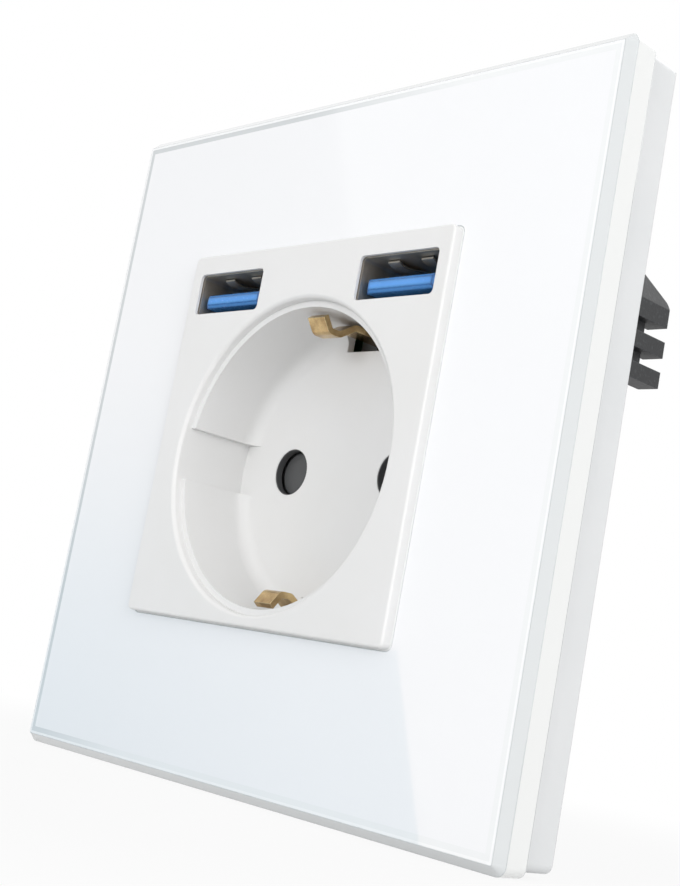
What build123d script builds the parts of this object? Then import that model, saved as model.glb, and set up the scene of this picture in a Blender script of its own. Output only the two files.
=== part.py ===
from build123d import *
import math
import os

# Flush wall socket: an earthed two-pin outlet with side-clip earthing and two charging ports,
# in a square glass panel. Origin at the centre of the wall plane, X to the right, Y into the wall,
# Z up, millimetres.

# Glass panel and the plastic frame glued behind it
panel_size = 86.0
panel_face_corner = 0.2
panel_bevel = 1.0
glass_thickness = 4.0
opening_bevel = 0.15
panel_seam = 0.06
frame_inset = 0.6
frame_depth = 4.6
frame_skin = 1.4
frame_wall = 2.0
frame_corner = 1.0
collar_wall = 1.4
stiffener = 1.2

# Steel support plate and the pegs that hold the panel on it
plate_thickness = 1.0
plate_corner = 4.0
box_screw_spacing = 60.0
box_slot_width = 4.0
box_slot_length = 7.0
plate_margin = 2.0
peg_radius = 1.9
peg_clearance = 3.1
peg_height = 22.0
peg_reach = 1.2
peg_tip = 0.5

# White socket cover with the plug well
cover_corner = 0.7
cover_edge_round = 0.3
cover_raise = 1.3
cover_face = 1.8
cover_wall = 1.2
well_diameter = 38.5
well_depth = 11.0
well_bottom_margin = 1.45
well_wall = 1.4
well_floor = 1.0
well_lead = 1.2
well_step = 0.8
well_cove = 1.8
well_rim_round = 0.5
groove_width = 6.6
pin_spacing = 19.0
pin_hole_diameter = 6.0
earth_window_width = 6.0
earth_window_height = 2.8

# Charging ports
usb_spacing = 30.6
usb_well_wall = 0.8
usb_side_margin = 1.55
usb_top_margin = 2.3
usb_window_lip = 0.15
usb_window_depth = 0.4
usb_window_round = 0.6
usb_shell_width = 13.1
usb_shell_height = 5.7
usb_shell_wall = 0.3
usb_shell_round = 0.7
usb_tongue_width = 11.1
usb_tongue_thickness = 1.8
usb_tongue_drop = 0.75
usb_tongue_setback = 0.3
usb_tongue_edge = 0.4
usb_blade_setback = 1.0
usb_plug_depth = 11.5
usb_blade_width = 1.0
usb_blade_thickness = 0.25
usb_blade_places = (-3.5, -1.0, 1.0, 3.5)

# Charger board and the parts on it
board_gap = 1.5
board_thickness = 1.4
board_edge = 1.0
transformer_width = 11.4
transformer_height = 9.4
transformer_depth = 7.4
transformer_core = 2.6
winding_bulge = 1.0
winding_round = 1.0
transformer_edge = 0.1
capacitor_radius = 4.0
capacitor_length = 7.2
capacitor_foot_length = 1.0
capacitor_groove = 0.4
component_gap = 0.4
component_inset = 5.0
standoff_radius = 1.2
standoff_place = 14.5

# Child-protection shutter and its chamber
shutter_thickness = 2.0
shutter_clearance = 0.3
shutter_half_width = 3.6
shutter_ramp = 0.9
shutter_open_angle = 46.0
hub_radius = 4.6
hub_pocket_radius = 3.5
hub_pocket_depth = 1.3
pivot_radius = 2.0
pivot_clearance = 0.1
stop_radius = 0.8
stop_gap = 0.1
rest_stop_inset = 2.5
open_stop_outset = 1.5
spring_radius = 2.8
spring_wire = 0.4
spring_turns = 2
spring_coil_gap = 0.05

# Contact carrier and brass contacts
carrier_thickness = 2.4
carrier_side = 8.0
carrier_height = 27.0
carrier_corner = 4.0
carrier_lug_width = 9.0
carrier_lug_margin = 0.4
strip_thickness = 0.8
strip_width = 3.0
strip_bend = 0.7
strip_ring_radius = 5.0
strip_ring_hole = 2.5
clip_wall_gap = 0.4
clip_reach = 2.7
clip_tip_depth = 2.7
clip_crest_front = 3.9
clip_crest_back = 5.4
clip_heel_depth = 7.8
clip_tip_gap = 0.3
earth_tab_inset = 1.3
contact_bore = 5.0
contact_wall = 0.7
contact_slit = 1.2
contact_room = 19.9
strap_thickness = 0.8
strap_width = 5.0
strap_offset = 1.6
strap_bend = 2.0

# Dark rear housing with its terminal combs
base_lip = 2.0
base_top_reach = 5.7
base_bottom_reach = 2.5
base_wall = 1.6
base_bottom_chamfer = 7.0
base_top_round = 1.0
bump_side = 0.5
bump_rise = 1.5
bump_corner = 4.0
comb_thickness = 3.0
comb_inset = 0.5
comb_reach = 11.0
comb_height = 14.4
fin_thickness = 2.1
wire_notch = 1.8
wire_notch_depth = 2.4
comb_pocket = 1.6
comb_bevel_depth = 4.4
comb_bevel_drop = 3.4
comb_nose_round = 1.0
comb_slope_width = 2.0
comb_slope_height = 4.2
comb_slit_height = 1.7
comb_slit_depth = 2.4
comb_slit_root = 1.6
seat_ring_height = 6.0
seat_ring_wall = 1.2
post_radius = 1.5
post_margin = 3.0

# Terminals and fasteners
terminal_width = 6.0
terminal_depth = 6.6
terminal_margin = 2.3
terminal_edge = 0.1
wire_hole_diameter = 3.2
terminal_side_gap = 1.1
wire_hole_depth = 5.0
grub_diameter = 2.9
grub_length = 2.6
grub_slot_width = 0.5
grub_slot_depth = 0.7
earth_terminal_width = 9.0
earth_terminal_height = 6.4
earth_wire_spacing = 4.6
supply_pin_radius = 0.8
supply_pin_length = 1.4
boss_radius = 1.9
housing_boss_radius = 3.2
corner_screw_gap = 1.6
screw_diameter = 2.2
screw_head_diameter = 4.0
screw_head_height = 1.5
screw_grip = 4.8
screw_length = 12.5
screw_slot_width = 0.6
screw_slot_depth = 0.7

# Fits
fit_gap = 0.3
slip_gap = 0.1
cut_margin = 1.0

# Depths of the layers, from the front to the back
glass_back = -frame_depth
glass_front = glass_back - glass_thickness
face_front = glass_front - cover_raise
face_back = face_front + cover_face
plate_front = -plate_thickness
floor_front = face_front + well_depth
floor_back = floor_front + well_floor
shutter_front = floor_back + shutter_clearance
shutter_back = shutter_front + shutter_thickness
carrier_front = shutter_back + shutter_clearance
carrier_back = carrier_front + carrier_thickness
board_front = carrier_front + board_gap
board_back = board_front + board_thickness
component_room = max(
    supply_pin_length + terminal_depth, transformer_depth + component_gap, capacitor_length + component_gap
)
shoulder_inner = board_back + component_room
base_shoulder = shoulder_inner + base_wall
bump_inner = floor_front + contact_room
bump_back = bump_inner + base_wall
comb_back = base_shoulder + comb_reach
boss_meet = floor_back + fit_gap
screw_seat = boss_meet + screw_grip
pocket_front = face_front + usb_window_depth
shell_front = pocket_front + slip_gap

# Ports and cover: the ports sit as low as the well's wall lets them, and the cover is square around both
well_radius = well_diameter / 2
bore_radius = well_radius - well_step
pin_radius = pin_hole_diameter / 2
pin_x = pin_spacing / 2
usb_x = usb_spacing / 2
usb_pocket_width = usb_shell_width + 2 * slip_gap
usb_pocket_height = usb_shell_height + 2 * slip_gap
usb_inner_edge = usb_x - usb_pocket_width / 2
usb_low_edge = math.sqrt((well_radius + usb_well_wall) ** 2 - usb_inner_edge**2)
usb_high_edge = usb_low_edge + usb_pocket_height
cover_size = max(
    well_bottom_margin + well_radius + usb_high_edge + usb_top_margin,
    usb_spacing + usb_pocket_width + 2 * usb_side_margin,
)
cover_inner = cover_size - 2 * cover_wall
opening_size = cover_size + 2 * panel_seam
well_drop = cover_size / 2 - well_radius - well_bottom_margin
well_axis = (0, -well_drop)
usb_height = usb_low_edge + usb_pocket_height / 2 - well_drop

# Rear housing, plate and frame outlines
frame_size = panel_size - 2 * frame_inset
plate_size = box_screw_spacing + box_slot_length + 2 * plate_margin
base_half_width = cover_size / 2 + base_lip
base_top = cover_size / 2 + base_top_reach
base_bottom = -cover_size / 2 - base_bottom_reach
base_height = base_top - base_bottom
base_middle = (base_top + base_bottom) / 2
comb_bottom = base_top - comb_height
carrier_width = pin_spacing + 2 * carrier_side
bump_width = carrier_width + 2 * bump_side
bump_height = carrier_height + 2 * bump_rise

# Places of the terminals, contacts and screws
notch_pitch = fin_thickness + wire_notch
notch_heights = [comb_bottom + fin_thickness + wire_notch / 2 + i * notch_pitch for i in range(2)]
terminal_top = notch_heights[-1] + terminal_margin
terminal_front = shoulder_inner - terminal_depth
terminal_center = base_half_width - base_wall - terminal_side_gap - terminal_width / 2
terminal_middle = (terminal_front + shoulder_inner) / 2
earth_wire_x = earth_wire_spacing / 2
earth_block_bottom = base_bottom + base_wall + fit_gap
earth_block_top = earth_block_bottom + earth_terminal_height
earth_block_middle = (earth_block_bottom + earth_block_top) / 2
earth_tab_height = earth_block_top - earth_tab_inset
clip_line = bore_radius - clip_wall_gap - strip_thickness / 2
carrier_lug_half = clip_line + strip_thickness / 2 + carrier_lug_margin
contact_radius = contact_bore / 2 + contact_wall
corner_screw = cover_inner / 2 - boss_radius - corner_screw_gap
top_screw = (well_radius + well_wall - well_drop + cover_inner / 2) / 2
screw_places = [(-corner_screw, -corner_screw), (corner_screw, -corner_screw), (0, top_screw)]

os.makedirs("parts", exist_ok=True)


def depth_plane(depth):
    """Plane parallel to the wall at a depth, X to the right and Z up, whose extrusions come forward."""
    return Plane.XZ.offset(-depth)


# Glass panel with a bevelled front edge and a square opening for the cover
with BuildPart() as glass_panel:
    with BuildSketch(depth_plane(glass_back)):
        RectangleRounded(panel_size, panel_size, panel_face_corner + panel_bevel)
        RectangleRounded(opening_size, opening_size, cover_corner + panel_seam, mode=Mode.SUBTRACT)
    extrude(amount=glass_thickness)
    glass_face = glass_panel.faces().sort_by(Axis.Y)[0]
    chamfer(glass_face.outer_wire().edges(), panel_bevel)
    glass_face = glass_panel.faces().sort_by(Axis.Y)[0]
    chamfer(glass_face.inner_wires()[0].edges(), opening_bevel)
glass_panel.part.label = "glass_panel"
export_step(glass_panel.part, "parts/glass_panel.step")

# Backing frame: a thin tray with a rim on the wall, a collar on the plate, stiffeners and four pegs
peg_x = base_half_width + peg_radius + peg_clearance
peg_places = [(x, z) for x in (-peg_x, peg_x) for z in (-peg_height, peg_height)]
with BuildPart() as panel_frame:
    with BuildSketch(depth_plane(0)):
        RectangleRounded(frame_size, frame_size, frame_corner)
        RectangleRounded(opening_size, opening_size, cover_corner + panel_seam, mode=Mode.SUBTRACT)
    extrude(amount=frame_depth)
    with BuildSketch(depth_plane(0)):
        Rectangle(frame_size - 2 * frame_wall, frame_size - 2 * frame_wall)
        Rectangle(opening_size + 2 * collar_wall, opening_size + 2 * collar_wall, mode=Mode.SUBTRACT)
    extrude(amount=frame_depth - frame_skin, mode=Mode.SUBTRACT)
    with BuildSketch(depth_plane(0)):
        Rectangle(opening_size + 2 * collar_wall, opening_size + 2 * collar_wall)
    extrude(amount=plate_thickness, mode=Mode.SUBTRACT)
    with BuildSketch(depth_plane(plate_front - fit_gap)):
        with GridLocations(peg_height, 0, 3, 1):
            Rectangle(stiffener, frame_size - 2 * frame_wall)
        with GridLocations(0, peg_height, 1, 3):
            Rectangle(frame_size - 2 * frame_wall, stiffener)
        Rectangle(opening_size + 2 * collar_wall, opening_size + 2 * collar_wall, mode=Mode.SUBTRACT)
    extrude(amount=frame_depth - frame_skin + plate_front - fit_gap)
    with BuildSketch(depth_plane(peg_reach)):
        with Locations(*peg_places):
            Circle(peg_radius)
    extrude(amount=peg_reach + frame_depth - frame_skin)
    chamfer(panel_frame.faces().group_by(Axis.Y)[-1].edges(), peg_tip)
panel_frame.part.label = "panel_frame"
export_step(panel_frame.part, "parts/panel_frame.step")

# Steel support plate: stamped square with the cover opening, two screw slots and four peg holes
with BuildPart() as support_plate:
    with BuildSketch(depth_plane(0)):
        RectangleRounded(plate_size, plate_size, plate_corner)
        Rectangle(cover_inner, cover_inner, mode=Mode.SUBTRACT)
        with Locations(well_axis):
            Circle(well_radius + well_wall + fit_gap, mode=Mode.SUBTRACT)
        with GridLocations(box_screw_spacing, 0, 2, 1):
            SlotOverall(box_slot_length, box_slot_width, mode=Mode.SUBTRACT)
        with Locations(*peg_places):
            Circle(peg_radius + slip_gap, mode=Mode.SUBTRACT)
    extrude(amount=plate_thickness)
support_plate.part.label = "support_plate"
export_step(support_plate.part, "parts/support_plate.step")

# Socket cover: raised square face, skirt on the plate, and the round plug well with its lead-in step
# and two guide grooves
usb_window_width = usb_shell_width - 2 * usb_window_lip
usb_window_height = usb_shell_height - 2 * usb_window_lip
with BuildPart() as socket_cover:
    with BuildSketch(depth_plane(plate_front)):
        RectangleRounded(cover_size, cover_size, cover_corner)
    extrude(amount=plate_front - face_front)
    fillet(socket_cover.faces().sort_by(Axis.Y)[0].edges(), cover_edge_round)
    with BuildSketch(depth_plane(plate_front)):
        Rectangle(cover_inner, cover_inner)
    extrude(amount=plate_front - face_back, mode=Mode.SUBTRACT)
    with BuildSketch(depth_plane(floor_back)):
        with Locations(well_axis):
            Circle(well_radius + well_wall)
    extrude(amount=floor_back - face_back)
    with BuildSketch(depth_plane(floor_front)):
        with Locations(well_axis):
            Circle(bore_radius)
    extrude(amount=well_depth + cut_margin, mode=Mode.SUBTRACT)
    bore_edges = socket_cover.edges().filter_by(GeomType.CIRCLE)
    bore_edges = bore_edges.filter_by(lambda e: abs(e.radius - bore_radius) < slip_gap)
    fillet(bore_edges.sort_by(Axis.Y)[-1], well_cove)
    with BuildSketch(depth_plane(face_front + well_lead)):
        with Locations(well_axis):
            Circle(well_radius)
    extrude(amount=well_lead + cut_margin, mode=Mode.SUBTRACT)
    rim_edges = socket_cover.edges().filter_by(GeomType.CIRCLE)
    rim_edges = rim_edges.filter_by(lambda e: abs(e.radius - well_radius) < slip_gap)
    fillet(rim_edges.sort_by(Axis.Y)[0], well_rim_round)
    with BuildSketch(depth_plane(floor_front)):
        with Locations(well_axis):
            Circle(well_radius)
            Rectangle(2 * well_radius, groove_width, mode=Mode.INTERSECT)
    extrude(amount=well_depth - well_lead, mode=Mode.SUBTRACT)
    with BuildSketch(depth_plane(boss_meet)):
        with Locations(*screw_places):
            Circle(boss_radius)
    extrude(amount=boss_meet - face_back)
    with BuildSketch(depth_plane(boss_meet)):
        with Locations(*screw_places):
            Circle(screw_diameter / 2 + slip_gap / 2)
    extrude(amount=screw_length - screw_grip + cut_margin, mode=Mode.SUBTRACT)
    with BuildSketch(depth_plane(floor_back)):
        with Locations(well_axis):
            with GridLocations(pin_spacing, 0, 2, 1):
                Circle(pin_radius)
            with GridLocations(0, 2 * bore_radius - earth_window_height, 1, 2):
                Rectangle(earth_window_width, earth_window_height)
    extrude(amount=well_floor + well_cove, mode=Mode.SUBTRACT)
    with BuildSketch(depth_plane(pocket_front)):
        with Locations((0, usb_height)):
            with GridLocations(usb_spacing, 0, 2, 1):
                RectangleRounded(usb_window_width, usb_window_height, usb_window_round)
    extrude(amount=usb_window_depth + cut_margin, mode=Mode.SUBTRACT)
    with BuildSketch(depth_plane(floor_back + cut_margin)):
        with Locations((0, usb_height)):
            with GridLocations(usb_spacing, 0, 2, 1):
                RectangleRounded(usb_pocket_width, usb_pocket_height, usb_shell_round)
    extrude(amount=floor_back + cut_margin - pocket_front, mode=Mode.SUBTRACT)
socket_cover.part.label = "socket_cover"
export_step(socket_cover.part, "parts/socket_cover.step")

# Shutter: a two-winged rotor that covers both pin holes at rest, with ramps for the pins
with BuildPart() as shutter:
    with BuildSketch(depth_plane(shutter_back)):
        with Locations(well_axis):
            SlotOverall(pin_spacing + 2 * shutter_half_width, 2 * shutter_half_width)
            Circle(hub_radius)
            Circle(pivot_radius + pivot_clearance, mode=Mode.SUBTRACT)
    extrude(amount=shutter_thickness)
    long_edges = shutter.faces().sort_by(Axis.Y)[0].edges().filter_by(Axis.X)
    right_upper = long_edges.filter_by(lambda e: e.center().X > 0).sort_by(Axis.Z)[0]
    left_lower = long_edges.filter_by(lambda e: e.center().X < 0).sort_by(Axis.Z)[-1]
    chamfer([right_upper, left_lower], shutter_ramp)
    with BuildSketch(depth_plane(shutter_back)):
        with Locations(well_axis):
            Circle(hub_pocket_radius)
    extrude(amount=hub_pocket_depth, mode=Mode.SUBTRACT)
shutter.part.label = "shutter"
export_step(shutter.part, "parts/shutter.step")

# Coil spring in the shutter's hub
spring_pitch = spring_wire + spring_coil_gap
spring_start = (0, carrier_front - slip_gap - spring_wire / 2, -well_drop)
with BuildPart() as shutter_spring:
    with BuildLine() as coil:
        Helix(spring_pitch, spring_turns * spring_pitch, spring_radius, spring_start, (0, -1, 0))
    with BuildSketch(Plane(origin=coil.line @ 0, z_dir=coil.line % 0)):
        Circle(spring_wire / 2)
    sweep(is_frenet=True)
shutter_spring.part.label = "shutter_spring"
export_step(shutter_spring.part, "parts/shutter_spring.step")

# Contact carrier: insulating plate with the shutter's pivot and stops and the earth strip's groove
stop_side = shutter_half_width + stop_gap + stop_radius
rest_stop = (pin_x - rest_stop_inset, stop_side)
open_stop_distance = pin_x + open_stop_outset
open_cos = math.cos(math.radians(shutter_open_angle))
open_sin = math.sin(math.radians(shutter_open_angle))
open_stop = (
    open_stop_distance * open_cos - stop_side * open_sin,
    -open_stop_distance * open_sin - stop_side * open_cos,
)
stop_places = [rest_stop, (-rest_stop[0], -rest_stop[1]), open_stop, (-open_stop[0], -open_stop[1])]
with BuildPart() as contact_carrier:
    with BuildSketch(depth_plane(carrier_back)):
        with Locations(well_axis):
            RectangleRounded(carrier_width, carrier_height, carrier_corner)
            Rectangle(carrier_lug_width, 2 * carrier_lug_half)
            with GridLocations(pin_spacing, 0, 2, 1):
                Circle(pin_radius, mode=Mode.SUBTRACT)
        with Locations((0, earth_tab_height)):
            Rectangle(strip_width + 2 * slip_gap, strip_thickness + 2 * slip_gap, mode=Mode.SUBTRACT)
    extrude(amount=carrier_thickness)
    with BuildSketch(depth_plane(carrier_front + strip_thickness)):
        with Locations(well_axis):
            Rectangle(strip_width + 2 * slip_gap, 2 * carrier_lug_half + cut_margin)
            Circle(strip_ring_radius + slip_gap)
    extrude(amount=strip_thickness + cut_margin, mode=Mode.SUBTRACT)
    with BuildSketch(depth_plane(carrier_front + strip_thickness)):
        with Locations(well_axis):
            Circle(pivot_radius)
    extrude(amount=carrier_front + strip_thickness - floor_back - slip_gap)
    with BuildSketch(depth_plane(carrier_front)):
        with Locations(well_axis):
            with Locations(*stop_places):
                Circle(stop_radius)
    extrude(amount=shutter_thickness)
contact_carrier.part.label = "contact_carrier"
export_step(contact_carrier.part, "parts/contact_carrier.step")

# Earth strip: one bent brass strip with a sprung clip at the top and the bottom of the well
spine_line = carrier_front + strip_thickness / 2
crest_line = bore_radius - clip_reach + strip_thickness / 2
tip_line = bore_radius - clip_tip_gap - strip_thickness / 2
upper_half = [
    (face_front + clip_tip_depth, tip_line),
    (face_front + clip_crest_front, crest_line),
    (face_front + clip_crest_back, crest_line),
    (face_front + clip_heel_depth, clip_line),
    (spine_line, clip_line),
]
lower_half = [(depth, -height) for depth, height in reversed(upper_half)]
with BuildPart() as earth_strip:
    with BuildSketch(Plane.YZ):
        with BuildLine():
            FilletPolyline(
                [(depth, height - well_drop) for depth, height in upper_half + lower_half], radius=strip_bend
            )
        trace(line_width=strip_thickness)
    extrude(amount=strip_width / 2, both=True)
    with BuildSketch(depth_plane(carrier_front + strip_thickness)):
        with Locations(well_axis):
            Circle(strip_ring_radius)
    extrude(amount=strip_thickness)
    with BuildSketch(depth_plane(carrier_front + strip_thickness)):
        with Locations(well_axis):
            Circle(strip_ring_hole)
    extrude(amount=strip_thickness, mode=Mode.SUBTRACT)
    with BuildSketch(depth_plane(terminal_front)):
        with Locations((0, earth_tab_height)):
            Rectangle(strip_width, strip_thickness)
    extrude(amount=terminal_front - spine_line)
earth_strip.part.label = "earth_strip"
export_step(earth_strip.part, "parts/earth_strip.step")

# Live and neutral contacts: a slit spring sleeve for the pin and a strap to the terminal
for side, name in ((1, "live_contact"), (-1, "neutral_contact")):
    strap_front = carrier_back + strap_offset
    with BuildPart() as pin_contact:
        with BuildSketch(depth_plane(bump_inner)):
            with Locations((side * pin_x, -well_drop)):
                Circle(contact_radius)
                Circle(contact_bore / 2, mode=Mode.SUBTRACT)
                with Locations((-side * contact_radius, 0)):
                    Rectangle(2 * contact_wall + slip_gap, contact_slit, mode=Mode.SUBTRACT)
        extrude(amount=bump_inner - carrier_back - slip_gap)
        with BuildSketch(depth_plane(strap_front + strap_width)):
            with BuildLine():
                FilletPolyline(
                    (side * (pin_x + contact_radius - contact_wall / 2), -well_drop),
                    (side * terminal_center, -well_drop),
                    (side * terminal_center, comb_bottom),
                    radius=strap_bend,
                )
            trace(line_width=strap_thickness)
        extrude(amount=strap_width)
    pin_contact.part.label = name
    export_step(pin_contact.part, f"parts/{name}.step")

# Live and neutral terminals: brass blocks with two wire holes and two grub screws from the side
terminal_height = terminal_top - comb_bottom
terminal_level = (terminal_top + comb_bottom) / 2
for side, name in ((1, "live_terminal"), (-1, "neutral_terminal")):
    with BuildPart() as terminal:
        with BuildSketch(depth_plane(shoulder_inner)):
            with Locations((side * terminal_center, terminal_level)):
                RectangleRounded(terminal_width, terminal_height, terminal_edge)
        extrude(amount=terminal_depth)
        with BuildSketch(depth_plane(shoulder_inner)):
            with Locations(*[(side * terminal_center, z) for z in notch_heights]):
                Circle(wire_hole_diameter / 2)
        extrude(amount=wire_hole_depth, mode=Mode.SUBTRACT)
        with BuildSketch(Plane.YZ.offset(side * terminal_center)):
            with Locations(*[(terminal_middle, z) for z in notch_heights]):
                Circle(grub_diameter / 2 + slip_gap / 2)
        extrude(amount=side * terminal_width, mode=Mode.SUBTRACT)
    terminal.part.label = name
    export_step(terminal.part, f"parts/{name}.step")

# Earth terminal: a brass block at the bottom with its wire holes behind and grub screws from below
with BuildPart() as earth_terminal:
    with BuildSketch(depth_plane(shoulder_inner)):
        with Locations((0, earth_block_middle)):
            RectangleRounded(earth_terminal_width, earth_terminal_height, terminal_edge)
    extrude(amount=terminal_depth)
    with BuildSketch(depth_plane(shoulder_inner)):
        with Locations((0, earth_block_middle)):
            with GridLocations(earth_wire_spacing, 0, 2, 1):
                Circle(wire_hole_diameter / 2)
    extrude(amount=wire_hole_depth, mode=Mode.SUBTRACT)
    with BuildSketch(Plane.XY.offset(earth_block_bottom)):
        with Locations((0, terminal_middle)):
            with GridLocations(earth_wire_spacing, 0, 2, 1):
                Circle(grub_diameter / 2 + slip_gap / 2)
    extrude(amount=earth_terminal_height / 2, mode=Mode.SUBTRACT)
earth_terminal.part.label = "earth_terminal"
export_step(earth_terminal.part, "parts/earth_terminal.step")

# Slotted grub screws of all the terminals
grub_planes = []
for side in (1, -1):
    for height in notch_heights:
        outer = (side * (terminal_center + terminal_width / 2), terminal_middle, height)
        grub_planes.append(Plane(origin=outer, x_dir=(0, 1, 0), z_dir=(side, 0, 0)))
for x in (-earth_wire_x, earth_wire_x):
    outer = (x, terminal_middle, earth_block_bottom)
    grub_planes.append(Plane(origin=outer, x_dir=(1, 0, 0), z_dir=(0, 0, -1)))
with BuildPart() as terminal_screws:
    with BuildSketch(*grub_planes):
        Circle(grub_diameter / 2)
    extrude(amount=-grub_length)
    with BuildSketch(*grub_planes):
        Rectangle(grub_diameter, grub_slot_width)
    extrude(amount=-grub_slot_depth, mode=Mode.SUBTRACT)
terminal_screws.part.label = "terminal_screws"
export_step(terminal_screws.part, "parts/terminal_screws.step")

# Supply pins from the live and neutral terminals to the charger board
with BuildPart() as supply_pins:
    with BuildSketch(depth_plane(terminal_front)):
        with Locations((0, terminal_level)):
            with GridLocations(2 * terminal_center, 0, 2, 1):
                Circle(supply_pin_radius)
    extrude(amount=terminal_front - board_back)
supply_pins.part.label = "supply_pins"
export_step(supply_pins.part, "parts/supply_pins.step")

# Charger board behind the ports, notched around the carrier and the top screw boss
board_bottom = carrier_height / 2 - well_drop + board_edge
board_top = base_top - base_wall - fit_gap
board_width = 2 * (base_half_width - base_wall - board_edge)
notch_top = carrier_lug_half - well_drop + fit_gap
with BuildPart() as usb_board:
    with BuildSketch(depth_plane(board_back)):
        with Locations((0, (board_bottom + board_top) / 2)):
            RectangleRounded(board_width, board_top - board_bottom, board_edge)
        with Locations((0, (board_bottom + notch_top) / 2)):
            Rectangle(carrier_lug_width + 2 * fit_gap, notch_top - board_bottom, mode=Mode.SUBTRACT)
        with Locations((0, top_screw)):
            Circle(housing_boss_radius + fit_gap, mode=Mode.SUBTRACT)
    extrude(amount=board_thickness)
usb_board.part.label = "usb_board"
export_step(usb_board.part, "parts/usb_board.step")

# Charging ports: folded steel shell, blue tongue on its moulded block, and four contact blades
tongue_front = shell_front + usb_tongue_setback
block_front = shell_front + usb_plug_depth
tongue_level = usb_height - usb_tongue_drop
blade_level = tongue_level + usb_tongue_thickness / 2 + usb_blade_thickness / 2
bore_width = usb_shell_width - 2 * usb_shell_wall
bore_height = usb_shell_height - 2 * usb_shell_wall
bore_round = usb_shell_round - usb_shell_wall
for port, name in ((-usb_x, "left"), (usb_x, "right")):
    with BuildPart() as usb_shell:
        with BuildSketch(depth_plane(board_front)):
            with Locations((port, usb_height)):
                RectangleRounded(usb_shell_width, usb_shell_height, usb_shell_round)
                RectangleRounded(bore_width, bore_height, bore_round, mode=Mode.SUBTRACT)
        extrude(amount=board_front - shell_front)
    usb_shell.part.label = f"usb_shell_{name}"
    export_step(usb_shell.part, f"parts/usb_shell_{name}.step")

    with BuildPart() as usb_tongue:
        with BuildSketch(depth_plane(board_front)):
            with Locations((port, usb_height)):
                RectangleRounded(bore_width - slip_gap, bore_height - slip_gap, bore_round)
        extrude(amount=board_front - block_front)
        with BuildSketch(depth_plane(block_front)):
            with Locations((port, tongue_level)):
                Rectangle(usb_tongue_width, usb_tongue_thickness)
        extrude(amount=block_front - tongue_front)
        chamfer(usb_tongue.faces().sort_by(Axis.Y)[0].edges(), usb_tongue_edge)
    usb_tongue.part.label = f"usb_tongue_{name}"
    export_step(usb_tongue.part, f"parts/usb_tongue_{name}.step")

    with BuildPart() as usb_blades:
        with BuildSketch(depth_plane(block_front)):
            with Locations(*[(port + x, blade_level) for x in usb_blade_places]):
                Rectangle(usb_blade_width, usb_blade_thickness)
        extrude(amount=block_front - tongue_front - usb_blade_setback)
    usb_blades.part.label = f"usb_blades_{name}"
    export_step(usb_blades.part, f"parts/usb_blades_{name}.step")

# Transformer: a ferrite core wrapped by its taped winding
standoff_height = board_bottom + standoff_radius
component_height = standoff_height + standoff_radius + component_gap + transformer_height / 2
component_x = usb_x - component_inset
core_height = transformer_height - 2 * transformer_core
with BuildPart() as transformer:
    with BuildSketch(depth_plane(board_back + transformer_depth)):
        with Locations((-component_x, component_height)):
            Rectangle(transformer_width - 2 * winding_bulge, transformer_height)
            RectangleRounded(transformer_width, core_height, winding_round)
    extrude(amount=transformer_depth)
    chamfer(transformer.faces().sort_by(Axis.Y)[-1].edges(), transformer_edge)
transformer.part.label = "transformer"
export_step(transformer.part, "parts/transformer.step")

# Electrolytic capacitor: can with a rolled groove near the board
capacitor_foot = (component_x, board_back, component_height)
with BuildPart() as capacitor:
    with BuildSketch(Plane(origin=capacitor_foot, x_dir=(1, 0, 0), z_dir=(0, 0, 1))):
        with BuildLine():
            Polyline(
                (0, 0),
                (capacitor_radius, 0),
                (capacitor_radius, capacitor_foot_length),
                (capacitor_radius - capacitor_groove, capacitor_foot_length + capacitor_groove),
                (capacitor_radius, capacitor_foot_length + 2 * capacitor_groove),
                (capacitor_radius, capacitor_length - capacitor_groove),
                (capacitor_radius - capacitor_groove, capacitor_length),
                (0, capacitor_length),
                close=True,
            )
        make_face()
    revolve(axis=Axis(capacitor_foot, (0, 1, 0)))
capacitor.part.label = "capacitor"
export_step(capacitor.part, "parts/capacitor.step")

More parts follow.
